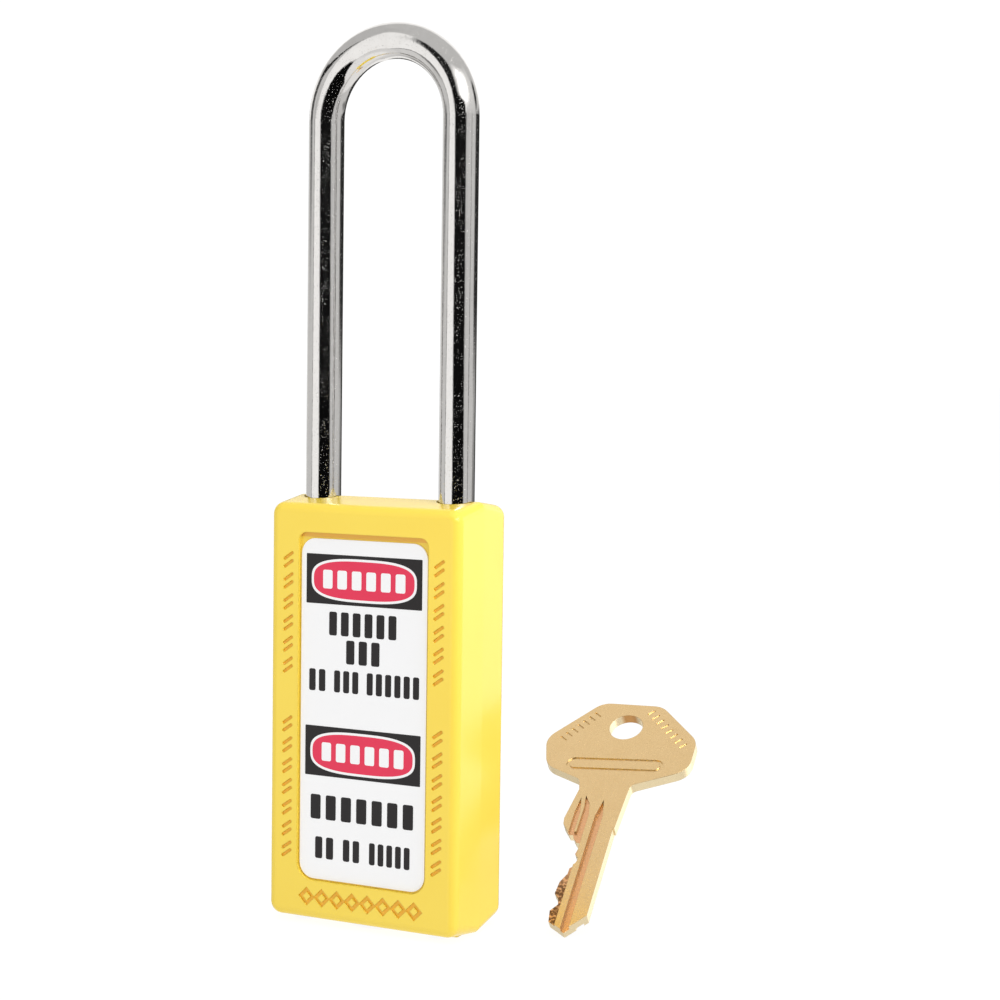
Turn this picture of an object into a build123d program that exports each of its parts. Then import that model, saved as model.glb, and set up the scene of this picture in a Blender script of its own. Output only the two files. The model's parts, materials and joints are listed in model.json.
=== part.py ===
from build123d import *
import os
from math import cos, radians, sin

# Safety padlock, closed, standing on its base, with its key beside it.
# Millimetres. +Z runs up the shackle, -Y is the front, X is the width.
# The origin is the middle of the base.

os.makedirs("parts", exist_ok=True)

# ---- body -----------------------------------------------------------------
body_width = 38.1
body_height = 76.2
body_depth = 18.5
face_width = 37.8
face_height = 74.0
parting_corner = 1.4
face_corner = 2.4
edge_round = 1.6
cavity_width = 33.9
cavity_depth = 14.6
cavity_top = 72.8

# ---- label recess and engraved marks --------------------------------------
recess_width = 26.0
recess_height = 62.2
recess_depth = 0.8
recess_middle = 39.05
recess_top_corner = 1.6
recess_bottom_corner = 3.2
label_width = 25.2
label_height = 60.8
label_middle = 38.7
label_thickness = 0.3
mark_depth = 0.35
mark_column = 15.1
mark_pitch = 3.76
upper_marks = [65.1 - mark_pitch * n for n in range(6)]
lower_marks = [35.7 - mark_pitch * n for n in range(7)]
mark_heights = upper_marks + lower_marks

# ---- shackle --------------------------------------------------------------
leg_radius = 3.175
leg_offset = 13.5
bow_height = 143.15
toe_bottom = 63.0
heel_bottom = 38.2
lift = 16.5
shackle_hole = 3.5
guide_bore = 3.3
flat_depth = 1.3
neck_height = 3.2
pin_height = 60.0
pin_radius = 1.2

# ---- locking parts --------------------------------------------------------
block_width = 33.5
block_depth = 14.2
cradle_base = 3.0
cradle_top = 46.0
cam_block_top = 65.6
guide_top = 72.6
latch_travel = 3.11
crank_radius = 2.2
crank_pin = 1.1
crank_x = -crank_radius * cos(radians(45))
crank_y = crank_radius * sin(radians(45))
latch_tip = 9.7
latch_bottom = 65.75
latch_top = 69.4

# ---- cylinder -------------------------------------------------------------
plug_radius = 5.7
plug_bore = 5.76
housing_radius = 7.0
housing_base = 3.0
housing_top = 31.2
chamber_radius = 1.5
stack_count = 6
stack_pitch = 3.8
first_stack = 5.6
stack_heights = [first_stack + stack_pitch * n for n in range(stack_count)]
key_pin_lengths = [4.4, 5.0, 4.0, 3.8, 4.2, 4.0]
key_pin_end = 5.46
driver_pin_start = 5.85


def save(body, name):
    """Label a finished piece and write it to its own file."""
    body.label = name
    export_step(body, "parts/" + name + ".step")


# ---- body shell -----------------------------------------------------------
# Two moulded halves meet at mid-depth, where the outline is largest.
middle_height = body_height / 2
with BuildPart() as body_shell:
    for side in (-1, 1):
        middle_plane = Plane(origin=(0, 0, middle_height), x_dir=(1, 0, 0), z_dir=(0, side, 0))
        with BuildSketch(middle_plane):
            RectangleRounded(body_width, body_height, parting_corner)
        with BuildSketch(middle_plane.offset(body_depth / 2)):
            RectangleRounded(face_width, face_height, face_corner)
        loft(ruled=True)
    front_edges = body_shell.faces().sort_by(Axis.Y)[0].edges()
    back_edges = body_shell.faces().sort_by(Axis.Y)[-1].edges()
    fillet(front_edges + back_edges, edge_round)
    # cavity, open at the base
    with BuildSketch(Plane.XY.offset(-1)):
        RectangleRounded(cavity_width, cavity_depth, 1.2)
    extrude(amount=cavity_top + 1, mode=Mode.SUBTRACT)
    # holes for the two shackle legs
    with BuildSketch(Plane.XY.offset(cavity_top - 1)):
        with Locations((-leg_offset, 0), (leg_offset, 0)):
            Circle(shackle_hole)
    extrude(amount=8, mode=Mode.SUBTRACT)
    # label recess and engraved marks on both faces
    for side in (-1, 1):
        face_plane = Plane(origin=(0, side * body_depth / 2, 0), x_dir=(-side, 0, 0), z_dir=(0, side, 0))
        with BuildSketch(face_plane) as recess:
            with Locations((0, recess_middle)):
                Rectangle(recess_width, recess_height)
            fillet(recess.vertices().group_by(Axis.Y)[-1], recess_top_corner)
            fillet(recess.vertices().group_by(Axis.Y)[0], recess_bottom_corner)
        extrude(amount=-recess_depth, mode=Mode.SUBTRACT)
        with BuildSketch(face_plane):
            for column in (-mark_column, mark_column):
                for mark_height in mark_heights:
                    for stroke in (-0.7, 0.7):
                        with Locations((column, mark_height + stroke)):
                            SlotOverall(2.4, 0.55, rotation=35)
            for step in range(8):
                with Locations(((step - 3.5) * 3.1, 5.0)):
                    Rectangle(2.4, 2.4, rotation=45)
                    Rectangle(1.1, 1.1, rotation=45, mode=Mode.SUBTRACT)
        extrude(amount=-mark_depth, mode=Mode.SUBTRACT)
save(body_shell.part, "body_shell")

# ---- base cover -----------------------------------------------------------
# The flat middle is what the padlock stands on; its edges follow the shell.
rivet_places = [(13.6, 5.2), (13.6, -5.2), (-13.6, 5.2), (-13.6, -5.2)]
with BuildPart() as bottom_cover:
    with BuildSketch(Plane.YZ):
        with BuildLine():
            Polyline((-7.15, 2.7), (-7.15, 0.85), (-4.0, 0), (4.0, 0), (7.15, 0.85), (7.15, 2.7), close=True)
        make_face()
    extrude(amount=16.8, both=True)
    fillet(bottom_cover.edges().filter_by(Axis.Z), 1.0)
    with BuildSketch(Plane.XY.offset(-1)):
        Circle(6.35)
        with Locations(*rivet_places):
            Circle(1.2)
    extrude(amount=5, mode=Mode.SUBTRACT)
    with BuildSketch(Plane.XY.offset(-1)):
        with Locations(*rivet_places):
            Circle(1.8)
    extrude(amount=2.65, mode=Mode.SUBTRACT)
save(bottom_cover.part, "bottom_cover")

with BuildPart() as cover_rivets:
    with BuildSketch(Plane.XY.offset(0.9)):
        with Locations(*rivet_places):
            Circle(1.65)
    extrude(amount=0.7)
    with BuildSketch(Plane.XY.offset(1.6)):
        with Locations(*rivet_places):
            Circle(1.1)
    extrude(amount=7.0)
save(cover_rivets.part, "cover_rivets")

# ---- cylinder cradle: lower casting with the heel spring bore ---------------
screw_places = [(7.2, -5.7), (-7.2, 5.7)]
with BuildPart() as cylinder_cradle:
    with BuildSketch(Plane.XY.offset(cradle_base)):
        RectangleRounded(block_width, block_depth, 1.0)
    extrude(amount=cradle_top - cradle_base)
    # seat for the cylinder, open at the base, the front, the back and one side
    with BuildSketch(Plane.XY.offset(cradle_base - 1)):
        Circle(7.3)
    extrude(amount=34.6 - cradle_base + 1, mode=Mode.SUBTRACT)
    with BuildSketch(Plane.XY.offset(cradle_base - 1)):
        with Locations((9, 0)):
            Rectangle(18, 7.4)
    extrude(amount=31.8 - cradle_base + 1, mode=Mode.SUBTRACT)
    with BuildSketch(Plane.XY.offset(12)):
        with Locations((-leg_offset, 0)):
            Circle(guide_bore)
    extrude(amount=40, mode=Mode.SUBTRACT)
    with BuildSketch(Plane.XY.offset(30)):
        Circle(3.0)
        with Locations((leg_offset, 0)):
            Circle(1.6)
    extrude(amount=20, mode=Mode.SUBTRACT)
    with BuildSketch(Plane.XY.offset(cradle_base - 1)):
        with Locations(*rivet_places):
            Circle(1.2)
    extrude(amount=7.2, mode=Mode.SUBTRACT)
    with BuildSketch(Plane.XY.offset(37)):
        with Locations(*screw_places):
            Circle(1.0)
    extrude(amount=20, mode=Mode.SUBTRACT)
save(cylinder_cradle.part, "cylinder_cradle")

# ---- cam block: middle casting ---------------------------------------------
with BuildPart() as cam_block:
    with BuildSketch(Plane.XY.offset(cradle_top)):
        RectangleRounded(block_width, block_depth, 1.0)
    extrude(amount=cam_block_top - cradle_top)
    with BuildSketch(Plane.XY.offset(cradle_top - 1)):
        Circle(3.0)
        with Locations((-leg_offset, 0)):
            Circle(guide_bore)
        with Locations((leg_offset, 0)):
            Circle(1.6)
        with Locations(*screw_places):
            Circle(1.05)
    extrude(amount=30, mode=Mode.SUBTRACT)
    with BuildSketch(Plane.XY.offset(62.2)):
        Circle(4.9)
    extrude(amount=10, mode=Mode.SUBTRACT)
    with BuildSketch(Plane.XY.offset(61.8)):
        with Locations((leg_offset, 0)):
            Circle(guide_bore)
    extrude(amount=10, mode=Mode.SUBTRACT)
    pin_x = -leg_offset + leg_radius - flat_depth + pin_radius + 0.08
    with BuildSketch(Plane.XZ):
        with Locations((pin_x, pin_height)):
            Circle(pin_radius + 0.01)
    extrude(amount=20, both=True, mode=Mode.SUBTRACT)
save(cam_block.part, "cam_block")

# ---- latch guide: upper casting ---------------------------------------------
with BuildPart() as latch_guide:
    with BuildSketch(Plane.XY.offset(cam_block_top)):
        RectangleRounded(block_width, block_depth, 1.0)
    extrude(amount=guide_top - cam_block_top)
    with BuildSketch(Plane.XY.offset(cam_block_top - 1)):
        with Locations((-leg_offset, 0), (leg_offset, 0)):
            Circle(guide_bore)
        with Locations(*screw_places):
            Circle(1.05)
    extrude(amount=10, mode=Mode.SUBTRACT)
    # channel that the latch slides in
    with BuildSketch(Plane.XY.offset(cam_block_top - 1)):
        with Locations((-0.7, 0)):
            Rectangle(17.0, 8.9)
        with Locations((9.5, 0)):
            Rectangle(6, 5.3)
    extrude(amount=latch_top + 0.2 - cam_block_top + 1, mode=Mode.SUBTRACT)
    with BuildSketch(Plane.XY.offset(71.0)):
        with Locations(*screw_places):
            Circle(1.3)
    extrude(amount=3, mode=Mode.SUBTRACT)
save(latch_guide.part, "latch_guide")

with BuildPart() as block_screws:
    with BuildSketch(Plane.XY.offset(71.05)):
        with Locations(*screw_places):
            Circle(1.25)
            RegularPolygon(0.7, 6, mode=Mode.SUBTRACT)
    extrude(amount=1.4)
    with BuildSketch(Plane.XY.offset(38.0)):
        with Locations(*screw_places):
            Circle(0.9)
    extrude(amount=33.6)
save(block_screws.part, "block_screws")

# ---- shackle ----------------------------------------------------------------
with BuildPart() as shackle:
    with BuildLine(Plane.XZ) as shackle_path:
        Line((-leg_offset, heel_bottom), (-leg_offset, bow_height))
        ThreePointArc((-leg_offset, bow_height), (0, bow_height + leg_offset), (leg_offset, bow_height))
        Line((leg_offset, bow_height), (leg_offset, toe_bottom))
    with BuildSketch(Plane.XY.offset(heel_bottom)):
        with Locations((-leg_offset, 0)):
            Circle(leg_radius)
    sweep(path=shackle_path.wires()[0])
    leg_ends = shackle.faces().filter_by(Axis.Z).edges()
    chamfer(leg_ends, 0.5)
    # long flat on the heel leg, and the neck at its foot
    flat_bottom = pin_height - pin_radius - lift - 0.1
    flat_height = lift + 2 * pin_radius + 0.4
    with BuildSketch(Plane.XY.offset(flat_bottom)):
        with Locations((-leg_offset + leg_radius - flat_depth + 2, 0)):
            Rectangle(4, 8)
    extrude(amount=flat_height, mode=Mode.SUBTRACT)
    with BuildSketch(Plane.XY.offset(flat_bottom)):
        with Locations((-leg_offset, 0)):
            Circle(leg_radius + 1)
            Circle(leg_radius - flat_depth, mode=Mode.SUBTRACT)
    extrude(amount=neck_height, mode=Mode.SUBTRACT)
    # notch for the latch in the toe leg
    with BuildSketch(Plane.XY.offset(latch_bottom - 0.45)):
        with Locations((latch_tip + latch_travel + 0.2 - 2, 0)):
            Rectangle(4, 8)
    extrude(amount=latch_top - latch_bottom + 0.9, mode=Mode.SUBTRACT)
save(shackle.part, "shackle")

with BuildPart() as shackle_retaining_pin:
    with BuildSketch(Plane.XZ):
        with Locations((pin_x, pin_height)):
            Circle(pin_radius)
    extrude(amount=7.0, both=True)
    chamfer(shackle_retaining_pin.faces().filter_by(Axis.Y).edges(), 0.2)
save(shackle_retaining_pin.part, "shackle_retaining_pin")

with BuildPart() as shackle_spring:
    with BuildLine() as spring_path:
        Helix(2.5, 24.7, 2.45, center=(-leg_offset, 0, 12.6))
    with BuildSketch(Plane(origin=spring_path.line @ 0, z_dir=spring_path.line % 0)):
        Circle(0.35)
    sweep(path=spring_path.wires()[0], is_frenet=True)
save(shackle_spring.part, "shackle_spring")

# ---- latch, cam and drive rod -------------------------------------------------
with BuildPart() as latch:
    with BuildSketch(Plane.XY.offset(latch_bottom)):
        with Locations((-2.25, 0)):
            Rectangle(12.9, 8.6)
        with Locations((latch_tip - 3.5, 0)):
            Rectangle(7, 5.0)
        with Locations((crank_x, crank_y + 0.35)):
            Rectangle(2 * crank_pin + 0.3, 3.2, mode=Mode.SUBTRACT)
    extrude(amount=latch_top - latch_bottom)
    tip_edges = latch.faces().sort_by(Axis.X)[-1].edges().filter_by(Axis.Z)
    chamfer(tip_edges, 0.6)
save(latch.part, "latch")

with BuildPart() as latch_cam:
    with BuildSketch(Plane.XY.offset(62.6)):
        Circle(4.6)
    extrude(amount=2.7)
    with BuildSketch(Plane.XY.offset(65.3)):
        with Locations((crank_x, crank_y)):
            Circle(crank_pin)
    extrude(amount=3.8)
    with BuildSketch(Plane.XY.offset(62.5)):
        Rectangle(4.6, 2.4)
    extrude(amount=1.6, mode=Mode.SUBTRACT)
save(latch_cam.part, "latch_cam")

with BuildPart() as drive_rod:
    with BuildSketch(Plane.XY.offset(32.7)):
        RectangleRounded(4.4, 2.2, 0.3)
    extrude(amount=31.2)
save(drive_rod.part, "drive_rod")

# ---- lock cylinder -------------------------------------------------------------
with BuildPart() as cylinder_housing:
    with BuildSketch(Plane.XY.offset(housing_base)):
        Circle(housing_radius)
        with Locations((8.7, 0)):
            Rectangle(13.4, 6.8)
    extrude(amount=housing_top - housing_base)
    with BuildSketch(Plane.XY.offset(housing_base - 1)):
        Circle(plug_bore)
    extrude(amount=40, mode=Mode.SUBTRACT)
    with BuildSketch(Plane.YZ.offset(5)):
        for height in stack_heights:
            with Locations((0, height)):
                Circle(chamber_radius)
    extrude(amount=12, mode=Mode.SUBTRACT)
save(cylinder_housing.part, "cylinder_housing")

# The plug is drawn turned to its open position: its pin holes face +Y.
# Its face is flush with the flat of the base cover.
with BuildPart() as cylinder_plug:
    with BuildSketch(Plane.XY.offset(2.7)):
        Circle(plug_radius)
    extrude(amount=31.0 - 2.7)
    with BuildSketch(Plane.XY):
        Circle(6.1)
    extrude(amount=2.7)
    with BuildSketch(Plane.XY.offset(31.0)):
        Circle(4.6)
    extrude(amount=3.0)
    chamfer(cylinder_plug.faces().sort_by(Axis.Z)[0].edges(), 1.3)
    # groove for the clip
    with BuildSketch(Plane.XY.offset(31.5)):
        Circle(6)
        Circle(3.9, mode=Mode.SUBTRACT)
    extrude(amount=0.9, mode=Mode.SUBTRACT)
    # keyway with one ward, and the slot for the drive rod
    with BuildSketch(Plane.XY):
        with Locations((0, -0.9)):
            Rectangle(2.4, 8.4)
        with Locations((1.2, -0.9)):
            Rectangle(1.5, 1.3, mode=Mode.SUBTRACT)
    extrude(amount=30.4, mode=Mode.SUBTRACT)
    with BuildSketch(Plane.XY.offset(32.4)):
        Rectangle(4.6, 2.4)
    extrude(amount=3, mode=Mode.SUBTRACT)
    with BuildSketch(Plane.XZ.offset(-0.9)):
        for height in stack_heights:
            with Locations((0, height)):
                Circle(chamber_radius)
    extrude(amount=-6, mode=Mode.SUBTRACT)
save(cylinder_plug.part, "cylinder_plug")

with BuildPart() as plug_clip:
    with BuildSketch(Plane.XY.offset(31.6)):
        Circle(5.9)
        Circle(4.0, mode=Mode.SUBTRACT)
        with Locations((6, 0)):
            Rectangle(8, 3.2, mode=Mode.SUBTRACT)
    extrude(amount=0.7)
save(plug_clip.part, "plug_clip")

with BuildPart() as chamber_cover:
    with BuildSketch(Plane.XY.offset(4.0)):
        with Locations((15.85, 0)):
            Rectangle(0.8, 5.2)
    extrude(amount=26.5)
save(chamber_cover.part, "chamber_cover")

# ---- pin stacks: driver pins and springs in the housing, key pins in the plug ----
for number, height in enumerate(stack_heights, start=1):
    key_pin_length = key_pin_lengths[number - 1]
    with BuildPart() as key_pin:
        with BuildSketch(Plane.XZ.offset(-key_pin_end)):
            with Locations((0, height)):
                Circle(1.42)
        extrude(amount=key_pin_length)
        chamfer(key_pin.faces().sort_by(Axis.Y)[0].edges(), 0.9)
    save(key_pin.part, "key_pin_" + str(number))

    with BuildPart() as driver_pin:
        with BuildSketch(Plane.YZ.offset(driver_pin_start)):
            with Locations((0, height)):
                Circle(1.42)
        extrude(amount=4.8)
        chamfer(driver_pin.faces().filter_by(Axis.X).edges(), 0.25)
    save(driver_pin.part, "driver_pin_" + str(number))

    with BuildPart() as pin_spring:
        with BuildLine() as coil_path:
            Helix(0.8, 3.4, 1.1, center=(11.1, 0, height), direction=(1, 0, 0))
        with BuildSketch(Plane(origin=coil_path.line @ 0, z_dir=coil_path.line % 0)):
            Circle(0.17)
        sweep(path=coil_path.wires()[0], is_frenet=True)
    save(pin_spring.part, "pin_spring_" + str(number))

# ---- printed cards in the two recesses ----------------------------------------
for side, name in ((-1, "label_front"), (1, "label_back")):
    recess_floor = side * (body_depth / 2 - recess_depth)
    card_plane = Plane(origin=(0, recess_floor, 0), x_dir=(-side, 0, 0), z_dir=(0, side, 0))
    with BuildPart() as label_card:
        with BuildSketch(card_plane.offset(0.01)):
            with Locations((0, label_middle)):
                RectangleRounded(label_width, label_height, 2.8)
        extrude(amount=label_thickness)
    save(label_card.part, name)

# ---- key, tilted back with its tip on the floor ---------------------------------
key_thickness = 1.9
ring_hole = 3.3
ring_hole_place = (-0.25, 51.75)
slope = radians(34.8)
swing = radians(2.3)
lean = radians(-4.6)
level = Vector(cos(swing), sin(swing), 0)
up_slope = Vector(-sin(swing) * cos(slope), cos(swing) * cos(slope), sin(slope))
key_across = level * cos(lean) - up_slope * sin(lean)
key_plane = Plane(origin=(33.9, 4.15, 0.0), x_dir=key_across, z_dir=level.cross(up_slope))
key_front = key_plane.offset(key_thickness)
with BuildPart() as key:
    with BuildSketch(key_plane) as bow_outline:
        with BuildLine():
            Polyline(
                (-6.55, 26.0),
                (3.4, 25.4),
                (4.0, 36.35),
                (14.35, 40.7),
                (14.45, 48.6),
                (5.85, 57.7),
                (-6.4, 58.35),
                (-15.6, 48.2),
                (-13.8, 41.0),
                (-6.25, 37.55),
                (-5.65, 34.85),
                (-6.75, 27.4),
                close=True,
            )
        make_face()
        lobes = [v for v in bow_outline.vertices() if v.Y > 39]
        fillet(lobes, 4.0)
        necks = [v for v in bow_outline.vertices() if 35.5 < v.Y < 38.5]
        fillet(necks, 1.6)
    extrude(amount=key_thickness)
    # blade with its cuts along one edge
    with BuildSketch(key_plane):
        with BuildLine():
            Polyline(
                (3.15, 26.5),
                (-6.5, 26.5),
                (-6.5, 25.9),
                (-4.9, 23.65),
                (-4.15, 23.65),
                (-3.9, 22.9),
                (-3.15, 21.9),
                (-2.15, 21.65),
                (-2.65, 19.1),
                (-1.65, 17.6),
                (-1.9, 16.6),
                (-2.9, 15.6),
                (-2.9, 14.35),
                (-3.9, 12.35),
                (-4.15, 9.6),
                (-3.15, 8.3),
                (-2.9, 7.05),
                (-4.05, 5.55),
                (-3.65, 3.05),
                (-0.4, 0.88),
                (3.15, 4.55),
                close=True,
            )
        make_face()
    extrude(amount=key_thickness)
    # ring hole
    with BuildSketch(key_plane.offset(-1)):
        with Locations(ring_hole_place):
            Circle(ring_hole)
    extrude(amount=5, mode=Mode.SUBTRACT)
    # long groove down the front, running out to a point towards the bow
    with BuildSketch(key_front):
        with BuildLine():
            Polyline((-1.0, 0), (0.5, 0), (0.5, 28.3), (-0.2, 32.4), (-1.0, 28.3), close=True)
        make_face()
    extrude(amount=-0.7, mode=Mode.SUBTRACT)
    # milled step along the cut edge with its pointed run-out, and a short groove
    with BuildSketch(key_front):
        with BuildLine():
            Polyline(
                (-2.25, 0),
                (-2.25, 28.6),
                (-2.8, 31.4),
                (-3.9, 33.3),
                (-3.55, 30.4),
                (-3.6, 24.2),
                (-7.0, 23.7),
                (-7.0, 0),
                close=True,
            )
        make_face()
        with BuildLine():
            Polyline((-5.1, 23.0), (-4.05, 23.0), (-4.05, 29.2), (-4.7, 32.8), (-5.1, 29.2), close=True)
        make_face()
    extrude(amount=-0.45, mode=Mode.SUBTRACT)
    # groove down the back
    with BuildSketch(key_plane):
        with Locations((1.9, 16.2)):
            Rectangle(1.2, 33.4)
    extrude(amount=0.5, mode=Mode.SUBTRACT)
    # plain stamped marks on the bow
    with BuildSketch(key_front):
        for step in range(7):
            with Locations((-12.1 + 0.9 * step, 48.2 + 1.13 * step)):
                SlotOverall(1.8, 0.4, rotation=-38)
        for step in range(8):
            with Locations((12.0 - 1.15 * step, 47.2 + 1.25 * step)):
                SlotOverall(1.8, 0.4, rotation=42)
        with Locations((-0.3, 41.6)):
            SlotOverall(19.0, 3.2)
            SlotOverall(17.8, 2.0, mode=Mode.SUBTRACT)
    extrude(amount=-0.2, mode=Mode.SUBTRACT)
key_rise = -key.part.bounding_box().min.Z
key_on_floor = Pos(0, 0, key_rise) * key.part
save(key_on_floor, "key")
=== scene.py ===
"""Safety padlock with its key, on a white sweep."""

import json
import math

import bmesh
import bpy
from mathutils import Matrix, Vector


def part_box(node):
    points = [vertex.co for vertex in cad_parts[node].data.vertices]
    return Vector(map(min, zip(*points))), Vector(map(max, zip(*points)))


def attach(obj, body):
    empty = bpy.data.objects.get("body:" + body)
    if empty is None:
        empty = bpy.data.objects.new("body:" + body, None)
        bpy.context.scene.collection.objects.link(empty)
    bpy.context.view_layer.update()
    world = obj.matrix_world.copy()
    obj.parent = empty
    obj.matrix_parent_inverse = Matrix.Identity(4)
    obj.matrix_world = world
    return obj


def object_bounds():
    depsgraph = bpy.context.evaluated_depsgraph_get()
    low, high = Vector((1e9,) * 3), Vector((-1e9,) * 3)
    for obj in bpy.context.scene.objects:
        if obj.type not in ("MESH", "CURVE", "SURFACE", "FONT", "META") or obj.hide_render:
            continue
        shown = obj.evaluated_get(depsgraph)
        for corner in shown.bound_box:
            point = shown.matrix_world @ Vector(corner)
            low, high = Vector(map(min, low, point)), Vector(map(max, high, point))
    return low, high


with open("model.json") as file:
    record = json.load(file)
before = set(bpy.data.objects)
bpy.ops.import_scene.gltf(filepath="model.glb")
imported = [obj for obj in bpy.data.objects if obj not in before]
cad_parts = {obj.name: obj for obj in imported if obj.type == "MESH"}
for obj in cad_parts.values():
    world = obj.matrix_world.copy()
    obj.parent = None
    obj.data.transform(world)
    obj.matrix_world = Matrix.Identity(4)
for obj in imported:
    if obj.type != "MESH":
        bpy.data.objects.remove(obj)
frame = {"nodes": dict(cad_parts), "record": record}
cad_low, cad_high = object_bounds()
nodes = frame["nodes"]
scene = bpy.context.scene
MM = 0.001


# ---------------------------------------------------------------------------
# Camera
# ---------------------------------------------------------------------------
YAW = math.radians(25.87)
PITCH = math.radians(3.55)
ROLL = math.radians(0.80)
VIEW_DISTANCE = 351.23 * MM
TARGET = Vector((21.95, 0, 77.76)) * MM
SENSOR_WIDTH = 36
FOCAL_LENGTH = 72.98
SHIFT_UP = -0.0061

camera_side = Vector((math.sin(YAW), -math.cos(YAW), 0))
camera_right = Vector((math.cos(YAW), math.sin(YAW), 0))


def make_camera():
    back = camera_side * math.cos(PITCH) + Vector((0, 0, math.sin(PITCH)))
    up = back.cross(camera_right)
    right = camera_right * math.cos(ROLL) + up * math.sin(ROLL)
    up = up * math.cos(ROLL) - camera_right * math.sin(ROLL)
    data = bpy.data.cameras.new("camera")
    data.sensor_width = SENSOR_WIDTH
    data.lens = FOCAL_LENGTH
    data.shift_y = SHIFT_UP
    data.clip_start = 10 * MM
    data.clip_end = 100
    camera = bpy.data.objects.new("camera", data)
    turn = Matrix((right, up, back)).transposed().to_4x4()
    camera.matrix_world = Matrix.Translation(TARGET + back * VIEW_DISTANCE) @ turn
    scene.collection.objects.link(camera)
    scene.camera = camera


# ---------------------------------------------------------------------------
# Node helpers. Lengths in materials are in millimetres.
# ---------------------------------------------------------------------------
class Nodes:
    """Short ways to add nodes to one tree."""

    def __init__(self, tree):
        self.tree = tree
        tree.nodes.clear()

    def add(self, kind, **settings):
        node = self.tree.nodes.new(kind)
        for name, value in settings.items():
            setattr(node, name, value)
        return node

    def put(self, socket, value):
        if isinstance(value, bpy.types.NodeSocket):
            self.tree.links.new(value, socket)
        elif value is not None:
            socket.default_value = value

    def math(self, operation, a, b=None):
        node = self.add("ShaderNodeMath", operation=operation)
        self.put(node.inputs[0], a)
        self.put(node.inputs[1], b)
        return node.outputs[0]

    def above(self, value, low):
        return self.math("GREATER_THAN", value, low)

    def below(self, value, high):
        return self.math("LESS_THAN", value, high)

    def product(self, first, *others):
        for other in others:
            first = self.math("MULTIPLY", first, other)
        return first

    def total(self, first, *others):
        for other in others:
            first = self.math("ADD", first, other)
        return first

    def dot(self, vector, direction):
        node = self.add("ShaderNodeVectorMath", operation="DOT_PRODUCT")
        self.put(node.inputs[0], vector)
        self.put(node.inputs[1], tuple(direction))
        return node.outputs["Value"]

    def scale(self, vector, factors):
        node = self.add("ShaderNodeVectorMath", operation="MULTIPLY")
        self.put(node.inputs[0], vector)
        self.put(node.inputs[1], factors)
        return node.outputs[0]

    def split(self, vector):
        node = self.add("ShaderNodeSeparateXYZ")
        self.put(node.inputs[0], vector)
        return node.outputs

    def place(self):
        """The point in the object's own space, in millimetres."""
        coordinates = self.add("ShaderNodeTexCoord")
        return self.scale(coordinates.outputs["Object"], (1000, 1000, 1000))

    def noise(self, vector, scale, detail=3.0, roughness=0.5):
        node = self.add("ShaderNodeTexNoise")
        self.put(node.inputs["Vector"], vector)
        node.inputs["Scale"].default_value = scale
        node.inputs["Detail"].default_value = detail
        node.inputs["Roughness"].default_value = roughness
        return node.outputs["Fac"]

    def spread(self, value, low, high, new_low=0.0, new_high=1.0):
        """value, from low to high, brought smoothly to new_low to new_high and held there."""
        node = self.add("ShaderNodeMapRange", interpolation_type="SMOOTHSTEP")
        names = ("From Min", "From Max", "To Min", "To Max")
        for name, number in zip(names, (low, high, new_low, new_high)):
            node.inputs[name].default_value = number
        self.put(node.inputs["Value"], value)
        return node.outputs["Result"]

    def mix(self, factor, a, b):
        node = self.add("ShaderNodeMix", data_type="RGBA")
        self.put(node.inputs["Factor"], factor)
        colours = [s for s in node.inputs if s.type == "RGBA"]
        self.put(colours[0], a)
        self.put(colours[1], b)
        return next(s for s in node.outputs if s.type == "RGBA")

    def mix_shaders(self, factor, a, b):
        node = self.add("ShaderNodeMixShader")
        for socket, value in zip(node.inputs, (factor, a.outputs[0], b.outputs[0])):
            self.put(socket, value)
        return node

    def bevel(self, radius):
        """The normal, with sharp edges rounded to a radius in millimetres."""
        node = self.add("ShaderNodeBevel", samples=6)
        node.inputs["Radius"].default_value = radius * MM
        return node.outputs[0]

    def bump(self, height, relief, strength, normal=None):
        """The normal, tilted by a height map whose relief is in millimetres."""
        node = self.add("ShaderNodeBump")
        node.inputs["Strength"].default_value = strength
        node.inputs["Distance"].default_value = relief * MM
        self.put(node.inputs["Height"], height)
        self.put(node.inputs["Normal"], normal)
        return node.outputs[0]


def new_material(name):
    material = bpy.data.materials.new(name)
    material.use_nodes = True
    tree = Nodes(material.node_tree)
    shader = tree.add("ShaderNodeBsdfPrincipled")
    output = tree.add("ShaderNodeOutputMaterial")
    tree.tree.links.new(shader.outputs[0], output.inputs["Surface"])
    return material, tree, shader


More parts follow.
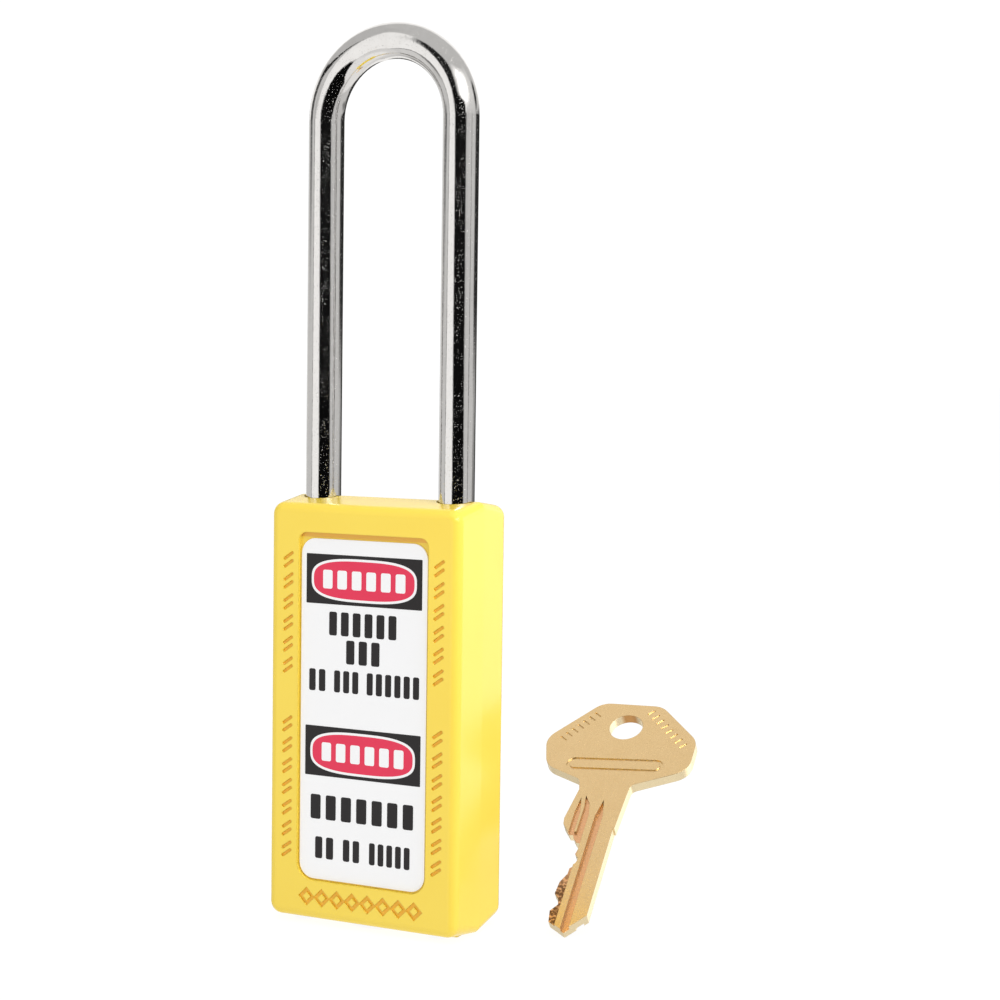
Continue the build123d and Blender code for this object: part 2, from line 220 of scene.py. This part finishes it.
# ---------------------------------------------------------------------------
# Materials
# ---------------------------------------------------------------------------
def yellow_plastic():
    """Satin moulded plastic, with painted shade in the engraved marks and a painted shade
    strip at the top of the label's recess."""
    material, tree, shader = new_material("yellow_plastic")
    place = tree.place()
    x, y, z = tree.split(place)
    beside = tree.math("ABSOLUTE", x)
    depth = tree.math("ABSOLUTE", y)
    cloud = tree.noise(place, 0.09, 2)
    yellow = tree.mix(cloud, (0.895, 0.652, 0.074, 1), (0.92, 0.690, 0.088, 1))

    in_columns = tree.above(beside, 13.2)
    in_base_row = tree.below(z, 6.8)
    on_face = tree.product(tree.below(beside, 17.2), tree.above(depth, 8.6))
    in_height = tree.product(tree.above(z, 2.5), tree.below(z, 67.5))
    # Painted shade: the floors of the engraved marks are painted a deeper orange in place of the
    # shade in the grooves.
    engraved_shade = tree.spread(depth, 8.88, 9.16, 1.0, 0.0)
    in_marks = tree.product(tree.math("MAXIMUM", in_columns, in_base_row), on_face, in_height)
    colour = tree.mix(tree.product(engraved_shade, in_marks), yellow, (0.90, 0.50, 0.030, 1))

    # Painted shade: a darker orange strip at the top of the label's recess, where shade falls
    # under its edge.
    at_recess_top = tree.product(tree.above(z, 69.3), tree.below(z, 70.4))
    in_recess = tree.product(tree.below(beside, 13.1), tree.above(depth, 8.3))
    sunk = tree.spread(depth, 8.95, 9.20, 1.0, 0.0)
    shaded = tree.product(at_recess_top, in_recess, sunk, 0.75)
    tree.put(shader.inputs["Base Color"], tree.mix(shaded, colour, (0.78, 0.40, 0.06, 1)))

    grain = tree.noise(place, 5.0, 4)
    tree.put(shader.inputs["Roughness"], tree.spread(grain, 0.3, 0.7, 0.16, 0.24))
    shader.inputs["IOR"].default_value = 1.5
    fine = tree.noise(place, 3.0, 5, 0.6)
    soft = tree.noise(place, 0.25, 2)
    height = tree.total(tree.product(fine, 0.25), soft)
    tree.put(shader.inputs["Normal"], tree.bump(height, 0.03, 0.45, tree.bevel(0.25)))
    return material


def chrome():
    """Bright plating over drawn bar, with faint lengthwise lines and, in patches, fine pits."""
    material, tree, shader = new_material("chrome")
    place = tree.place()
    shader.inputs["Metallic"].default_value = 1
    cloud = tree.noise(place, 0.8, 3)
    plating = tree.mix(cloud, (0.80, 0.79, 0.78, 1), (0.88, 0.875, 0.87, 1))
    tree.put(shader.inputs["Base Color"], plating)

    grain = tree.noise(place, 3.2, 3, 0.55)
    lines = tree.noise(tree.scale(place, (1, 1, 0.06)), 4.0, 3)
    waves = tree.noise(tree.scale(place, (1, 1, 0.3)), 0.35, 2)
    patches = tree.spread(tree.noise(place, 0.25, 2), 0.36, 0.56)
    pits = tree.spread(tree.noise(place, 5.0, 1), 0.68, 0.74)
    pits = tree.product(pits, tree.total(tree.product(patches, 0.8), 0.2))

    smooth = tree.spread(grain, 0.35, 0.75, 0.025, 0.07)
    tree.put(shader.inputs["Roughness"], tree.total(smooth, tree.product(pits, 0.04)))
    height = tree.total(tree.product(grain, 0.2), tree.product(lines, 0.12), waves)
    height = tree.math("SUBTRACT", height, tree.product(pits, 0.8))
    tree.put(shader.inputs["Normal"], tree.bump(height, 0.03, 0.8))
    return material


def metal(name, low, high, rough, grain, relief):
    """A plain metal with a fine grain and softened edges."""
    material, tree, shader = new_material(name)
    place = tree.place()
    shader.inputs["Metallic"].default_value = 1
    fine = tree.noise(place, grain, 4)
    tree.put(shader.inputs["Base Color"], tree.mix(tree.noise(place, 0.4, 3), low, high))
    tree.put(shader.inputs["Roughness"], tree.spread(fine, 0.3, 0.7, *rough))
    tree.put(shader.inputs["Normal"], tree.bump(fine, relief, 0.7, tree.bevel(0.1)))
    return material


def key_brass():
    """Stamped brass: side walls painted pale as a painted highlight, coppery milled grooves, dark
    stains in the cuts' step, painted shade on the top wall of the bow's hole.
    """
    material, tree, shader = new_material("key_brass")

    # The key's own axes: across it, along its blade to the bow, and out of its front.
    slope, swing, lean = (math.radians(angle) for angle in (34.8, 2.3, -4.6))
    corner = Vector((33.9, 4.15, -0.48))
    level = Vector((math.cos(swing), math.sin(swing), 0))
    uphill = Vector((
        -math.sin(swing) * math.cos(slope),
        math.cos(swing) * math.cos(slope),
        math.sin(slope),
    ))
    outward = level.cross(uphill)
    across = level * math.cos(lean) - uphill * math.sin(lean)
    along = outward.cross(across)
    place = tree.place()
    x, y, depth = (
        tree.math("SUBTRACT", tree.dot(place, way), corner.dot(way))
        for way in (across, along, outward)
    )
    facing = tree.dot(tree.add("ShaderNodeTexCoord").outputs["Normal"], outward)
    walls = tree.spread(tree.math("ABSOLUTE", facing), 0.35, 0.80, 1.0, 0.0)
    floors = tree.product(tree.spread(depth, 1.55, 1.68, 1.0, 0.0), tree.spread(facing, 0.3, 0.8))

    cloud = tree.noise(place, 0.4, 3)
    colour = tree.mix(cloud, (0.83, 0.585, 0.29, 1), (0.88, 0.635, 0.33, 1))
    colour = tree.mix(floors, colour, (0.86, 0.48, 0.25, 1))

    beside_cuts = tree.product(
        tree.spread(x, -2.2, -2.0, 1.0, 0.0),
        tree.spread(y, 10, 18, 1.0, 0.0),
    )
    blotches = tree.spread(tree.noise(place, 1.6, 4), 0.36, 0.56)
    stained = tree.product(beside_cuts, blotches, floors)
    colour = tree.mix(stained, colour, (0.20, 0.105, 0.05, 1))
    # Painted highlight: the side walls are painted a pale cream, as if lit.
    colour = tree.mix(walls, colour, (1.0, 0.84, 0.54, 1))

    # Painted shade: the wall at the top of the bow's hole is painted darker.
    from_hole = tree.math("ABSOLUTE", tree.total(x, 0.25))
    over_hole = tree.product(tree.spread(y, 52.0, 53.0), tree.spread(y, 55.3, 55.6, 1.0, 0.0))
    hole_top_shade = tree.product(tree.spread(from_hole, 0.9, 2.0, 1.0, 0.0), over_hole, walls)
    colour = tree.mix(hole_top_shade, colour, (0.62, 0.33, 0.12, 1))
    tree.put(shader.inputs["Base Color"], colour)

    shader.inputs["Metallic"].default_value = 1
    fine = tree.noise(place, 4.0, 4)
    tree.put(shader.inputs["Roughness"], tree.spread(fine, 0.3, 0.7, 0.26, 0.40))
    tree.put(shader.inputs["Normal"], tree.bump(fine, 0.025, 0.7, tree.bevel(0.1)))
    return material


def card(name, low, high, ior):
    """Printed film: smooth, with a slight unevenness in tone."""
    material, tree, shader = new_material(name)
    place = tree.place()
    fine = tree.noise(place, 4.0, 3)
    tree.put(shader.inputs["Base Color"], tree.mix(tree.noise(place, 0.15, 2), low, high))
    tree.put(shader.inputs["Roughness"], tree.spread(fine, 0.3, 0.7, 0.30, 0.42))
    tree.put(shader.inputs["Normal"], tree.bump(tree.noise(place, 0.5, 2), 0.02, 0.5))
    shader.inputs["IOR"].default_value = ior
    return material


def cover_plastic():
    """The base cover's plastic: the body's yellow with a coarser moulded grain."""
    material, tree, shader = new_material("cover_plastic")
    place = tree.place()
    grain = tree.noise(place, 6.0, 4)
    yellow = tree.mix(grain, (0.86, 0.62, 0.055, 1), (0.92, 0.69, 0.07, 1))
    tree.put(shader.inputs["Base Color"], yellow)
    tree.put(shader.inputs["Roughness"], tree.spread(grain, 0.3, 0.7, 0.45, 0.58))
    tree.put(shader.inputs["Normal"], tree.bump(grain, 0.05, 0.6, tree.bevel(0.2)))
    return material


# Each metal's two tones, roughness range, grain size and relief.
METALS = {
    "zinc_casting": ((0.36, 0.37, 0.38, 1), (0.50, 0.51, 0.53, 1), (0.42, 0.62), 3.0, 0.06),
    "steel": ((0.50, 0.51, 0.52, 1), (0.62, 0.63, 0.65, 1), (0.24, 0.40), 3.0, 0.02),
    "spring_steel": ((0.36, 0.37, 0.39, 1), (0.48, 0.49, 0.52, 1), (0.25, 0.38), 2.0, 0.02),
    "brass": ((0.66, 0.46, 0.19, 1), (0.76, 0.56, 0.26, 1), (0.24, 0.38), 3.0, 0.02),
}

# Each film's two tones and index of refraction.
CARDS = {
    "label_card": ((0.965, 0.965, 0.97, 1), (0.985, 0.985, 0.99, 1), 1.5),
    "print_black": ((0.009, 0.007, 0.008, 1), (0.013, 0.011, 0.012, 1), 1.42),
    "print_red": ((0.80, 0.022, 0.082, 1), (0.84, 0.028, 0.092, 1), 1.5),
    "print_white": ((0.965, 0.965, 0.97, 1), (0.985, 0.985, 0.99, 1), 1.5),
}


def make_materials():
    made = {
        "yellow_plastic": yellow_plastic(),
        "cover_plastic": cover_plastic(),
        "chrome": chrome(),
        "key_brass": key_brass(),
    }
    made.update({name: metal(name, *look) for name, look in METALS.items()})
    made.update({name: card(name, *look) for name, look in CARDS.items()})
    return made


# ---------------------------------------------------------------------------
# Printing on the two label cards, in millimetres
# ---------------------------------------------------------------------------
PANEL_HALF_WIDTH = 11.6
RIM = (21.1, 7.6)
FIELD = (20.2, 6.75)
BANNERS = [(57.6, 66.4, 62.0), (26.9, 35.8, 31.3)]  # bottom, top, middle of the oval
BANNER_WORD = (-8.2, 8.3, 3.3, 6)  # left, right, height, bars

# Each printed word, as left, right, middle, height and the number of bars.
WORDS = [
    (-6.9, 6.6, 54.2, 4.2, 6),
    (-3.4, 3.3, 49.3, 4.2, 3),
    (-10.9, -7.6, 44.0, 3.9, 2),
    (-5.8, -0.9, 44.0, 3.9, 3),
    (0.8, 11.2, 44.0, 3.9, 6),
    (-10.4, 10.3, 21.3, 4.4, 7),
    (-9.4, -5.7, 14.0, 3.9, 2),
    (-3.7, -0.4, 14.0, 3.9, 2),
    (1.6, 9.7, 14.0, 3.9, 5),
]


def rectangle(left, right, bottom, top, corner, steps):
    """The outline of a rectangle with small round corners."""
    points = []
    centres = [
        (right - corner, top - corner, 0),
        (left + corner, top - corner, 90),
        (left + corner, bottom + corner, 180),
        (right - corner, bottom + corner, 270),
    ]
    for cx, cz, start in centres:
        for step in range(steps + 1):
            angle = math.radians(start + 90 * step / steps)
            points.append((cx + corner * math.cos(angle), cz + corner * math.sin(angle)))
    return points


def oval(middle_z, width, height):
    """A long rounded oval, fuller than an ellipse."""
    fullness, count = 2 / 3, 96
    points = []
    for step in range(count):
        angle = math.tau * step / count
        c, s = math.cos(angle), math.sin(angle)
        points.append((
            width / 2 * math.copysign(abs(c) ** fullness, c),
            middle_z + height / 2 * math.copysign(abs(s) ** fullness, s),
        ))
    return points


def bars(left, right, middle, height, count):
    """Plain upright bars that fill a stretch evenly, where a printed word would be."""
    share = 0.66
    pitch = (right - left) / (count - 1 + share)
    starts = [left + pitch * n for n in range(count)]
    bottom, top = middle - height / 2, middle + height / 2
    return [rectangle(x, x + pitch * share, bottom, top, 0.35, 4) for x in starts]


def add_print(name, side, outlines, low, high, material):
    """Thin ink shapes on a card, from low to high (mm) above its face."""
    face = abs(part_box("label_front")[0].y) / MM
    mesh = bmesh.new()

    def ring(outline, depth):
        return [mesh.verts.new((-side * x * MM, side * depth * MM, z * MM)) for x, z in outline]

    for outline in outlines:
        bottom, top = ring(outline, face + low), ring(outline, face + high)
        mesh.faces.new(top)
        mesh.faces.new(list(reversed(bottom)))
        for n in range(len(outline)):
            m = (n + 1) % len(outline)
            mesh.faces.new((bottom[n], bottom[m], top[m], top[n]))
    bmesh.ops.recalc_face_normals(mesh, faces=mesh.faces)
    data = bpy.data.meshes.new(name)
    mesh.to_mesh(data)
    mesh.free()
    data.materials.append(material)
    piece = bpy.data.objects.new(name, data)
    scene.collection.objects.link(piece)
    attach(piece, "lock_body")
    return piece


def print_label(side, name, materials):
    left, right, height, count = BANNER_WORD
    panels = [
        rectangle(-PANEL_HALF_WIDTH, PANEL_HALF_WIDTH, bottom, top, 0.15, 3)
        for bottom, top, _ in BANNERS
    ]
    middles = [middle for _, _, middle in BANNERS]
    rims = [oval(middle, *RIM) for middle in middles]
    fields = [oval(middle, *FIELD) for middle in middles]
    white_bars = [bar for middle in middles for bar in bars(left, right, middle, height, count)]
    black_bars = [bar for word in WORDS for bar in bars(*word)]
    black, red, white = (materials[m] for m in ("print_black", "print_red", "print_white"))
    add_print(name + "_black", side, panels + black_bars, 0.0, 0.02, black)
    add_print(name + "_rims", side, rims, 0.02, 0.03, white)
    add_print(name + "_red", side, fields, 0.03, 0.04, red)
    add_print(name + "_white", side, white_bars, 0.04, 0.05, white)


# ---------------------------------------------------------------------------
# Floor, lights and surroundings
# ---------------------------------------------------------------------------
def make_floor():
    """White paper that mostly glows, seen from above only."""
    bpy.ops.mesh.primitive_plane_add(size=40)
    floor = bpy.context.object
    floor.name = "floor"
    floor.location = (0, 0, cad_low.z - 0.05 * MM)
    floor.visible_glossy = False
    material = bpy.data.materials.new("floor")
    material.use_nodes = True
    tree = Nodes(material.node_tree)
    glow = tree.add("ShaderNodeEmission")
    glow.inputs["Color"].default_value = (1, 1, 1, 1)
    glow.inputs["Strength"].default_value = 1.08
    paper = tree.add("ShaderNodeBsdfDiffuse")
    paper.inputs["Color"].default_value = (0.9, 0.9, 0.9, 1)
    clear = tree.add("ShaderNodeBsdfTransparent")
    sheet = tree.mix_shaders(0.15, glow, paper)
    underside = tree.add("ShaderNodeNewGeometry").outputs["Backfacing"]
    output = tree.add("ShaderNodeOutputMaterial")
    tree.put(output.inputs["Surface"], tree.mix_shaders(underside, sheet, clear).outputs[0])
    floor.data.materials.append(material)


# What polished metal sees round it: cards laid one over the other on an even grey.
# Each card is given as left, right, bottom, top (degrees to the right of the camera
# and up), softness of its edge, slant (degrees sideways for each degree up),
# squareness and grey.
BEHIND_CARDS = (0.56, 0.552, 0.54, 1)
SURROUNDINGS = [
    (-190, 190, -97, -47, 8, 0, 8, 0.74),
    (-190, 190, -97, -62, 10, 0, 8, 0.92),
    (-30, 150, -95, -46, 8, 0, 8, 0.86),
    (-190, -147, -42, 52, 7, 0, 6, 1.0),
    (147, 190, -50, 50, 8, 0, 6, 1.0),
    (50, 150, -48, -30, 8, 0, 8, 0.88),
    (-147, -60, 28, 60, 6, 0, 8, 0.52),
    (-147, -70, -30, 28, 6, 0, 8, 0.60),
    (-122, -66, -46, -16, 8, 0, 8, 0.70),
    (-154, -124, 8, 20, 4, 0, 5, 0.98),
    (-145, -127, -34, -6, 5, 0, 5, 0.32),
    (-124, -97, 4, 25, 8, 0.4, 4, 0.08),
    (-122, -69, 21.5, 27.5, 2.0, 0, 6, 0.012),
    (-89, -82, -20, -6, 4, 0, 4, 0.18),
    (50, 148, -31, 30, 6, 0, 8, 0.60),
    (60, 71, -44, -10, 6, 0, 4, 0.38),
    (-82, -76, -44, 9, 2, 0, 8, 0.16),
    (-79, -26, -47, 8, 2, 0, 12, 0.98),
    (71, 76, -40, 9, 2, 0, 8, 0.26),
    (-64, -46, 4, 40, 5, 0, 8, 0.95),
    (48, 98, 13, 45, 14, 0, 4, 0.76),
    (-30, 4, 15, 27, 6, 0.6, 4, 0.26),
    (-48, -12, 14, 38, 6, 0.25, 5, 0.016),
    (0, 62, 15, 44, 13, 0.6, 3, 1.6),
    (17, 45, 22, 37, 8, 0.6, 3, 9.0),
    (-37.5, 34, -5, 17, 3, -0.9, 10, 0.006),
    (-26, 48, -47, 0, 2.5, -0.2, 8, 0.003),
    (103, 124, 12, 29, 7, 0, 4, 0.03),
    (140, 178, -22, 9, 4, 0, 6, 0.03),
    (-178, -162, -22, 9, 4, 0, 6, 0.10),
    (106, 150, 0, 10, 3, 0, 4, 0.025),
    (110, 140, -14, -1, 6, 1.0, 4, 0.20),
]


def add_card(tree, turn, rise, behind, surrounding):
    """Lay one soft-edged card with rounded corners over what is behind it."""
    left, right, bottom, top, softness, slant, power, grey = surrounding
    half_width, half_height = (right - left) / 2, (top - bottom) / 2
    upward = tree.math("SUBTRACT", rise, (bottom + top) / 2)
    sideways = tree.math("SUBTRACT", turn, (left + right) / 2)
    if slant:
        sideways = tree.math("SUBTRACT", sideways, tree.product(upward, slant))

    def share(offset, half_size):
        offset = tree.math("DIVIDE", tree.math("ABSOLUTE", offset), half_size)
        return tree.math("POWER", offset, power)

    reach = tree.total(share(sideways, half_width), share(upward, half_height))
    reach = tree.math("POWER", reach, 1 / power)
    edge = softness / 2 / min(half_width, half_height)
    shown = tree.spread(reach, 1 - edge, 1 + edge, 1.0, 0.0)
    return tree.mix(shown, behind, (grey, grey * 0.985, grey * 0.965, 1))


def make_world():
    """White to the camera and to matt surfaces; cards and dark gaps for polished ones."""
    world = bpy.data.worlds.new("studio")
    world.use_nodes = True
    scene.world = world
    tree = Nodes(world.node_tree)
    direction = tree.add("ShaderNodeTexCoord").outputs["Generated"]
    ahead = tree.dot(direction, camera_side)
    across = tree.dot(direction, camera_right)
    turn = tree.math("MULTIPLY", tree.math("ARCTAN2", across, ahead), 180 / math.pi)
    rise = tree.math("MULTIPLY", tree.math("ARCSINE", tree.split(direction)[2]), 180 / math.pi)
    seen = BEHIND_CARDS
    for surrounding in SURROUNDINGS:
        seen = add_card(tree, turn, rise, seen, surrounding)

    def background(colour, strength=1.0):
        node = tree.add("ShaderNodeBackground")
        tree.put(node.inputs["Color"], colour)
        node.inputs["Strength"].default_value = strength
        return node

    plain = (1, 1, 1, 1)
    rays = tree.add("ShaderNodeLightPath").outputs
    lit = tree.mix_shaders(rays["Is Glossy Ray"], background(plain, 0.78), background(seen))
    shown = tree.mix_shaders(rays["Is Camera Ray"], lit, background(plain, 1.05))
    output = tree.add("ShaderNodeOutputWorld")
    tree.put(output.inputs["Surface"], shown.outputs[0])


def add_light(name, turn, rise, distance, size, watts, aim=TARGET, only=None, glossy=False):
    """A square soft light, turn degrees to the right of the camera and rise degrees up,
    with its distance and size in metres. When only is given, it falls on that node alone."""
    turn, rise = math.radians(turn), math.radians(rise)
    way = (camera_side * math.cos(turn) + camera_right * math.sin(turn)) * math.cos(rise)
    way.z = math.sin(rise)
    data = bpy.data.lights.new(name, "AREA")
    data.shape = "SQUARE"
    data.size = size
    data.energy = watts
    light = bpy.data.objects.new(name, data)
    light.location = aim + way * distance
    light.rotation_mode = "QUATERNION"
    light.rotation_quaternion = (-way).to_track_quat("-Z", "Y")
    light.visible_glossy = glossy
    light.visible_camera = False
    scene.collection.objects.link(light)
    if only:
        receivers = bpy.data.collections.new(name + "_receivers")
        receivers.objects.link(nodes[only])
        light.light_linking.receiver_collection = receivers


def make_lights():
    body = Vector((0, 0, 40)) * MM
    key = Vector((30, 25, 18)) * MM
    add_light("key_light", 70, 36, 1.2, 0.8, 2.6)
    add_light("top_light", -10, 80, 1.2, 0.9, 2.6)
    add_light("body_light", 42, 38, 0.22, 0.12, 0.18, body, "body_shell")
    add_light("rim_light", 128, 5, 1.2, 0.8, 2.4, body, "body_shell", glossy=True)
    add_light("brass_light", -150, 62, 1.0, 0.7, 0.60, key, "key", glossy=True)
    add_light("brass_rim", 128, 2, 0.10, 0.12, 0.045, key, "key", glossy=True)


# ---------------------------------------------------------------------------
# Assembly
# ---------------------------------------------------------------------------
materials = make_materials()
slots = {part["node"]: part["material_slot"] for part in frame["record"]["subparts"]}
for node_name, node in nodes.items():
    for material_slot in node.material_slots:
        material_slot.material = materials[slots[node_name]]

print_label(-1, "print_front", materials)
print_label(1, "print_back", materials)

make_floor()
make_world()
make_lights()
make_camera()
scene.view_settings.view_transform = "Standard"
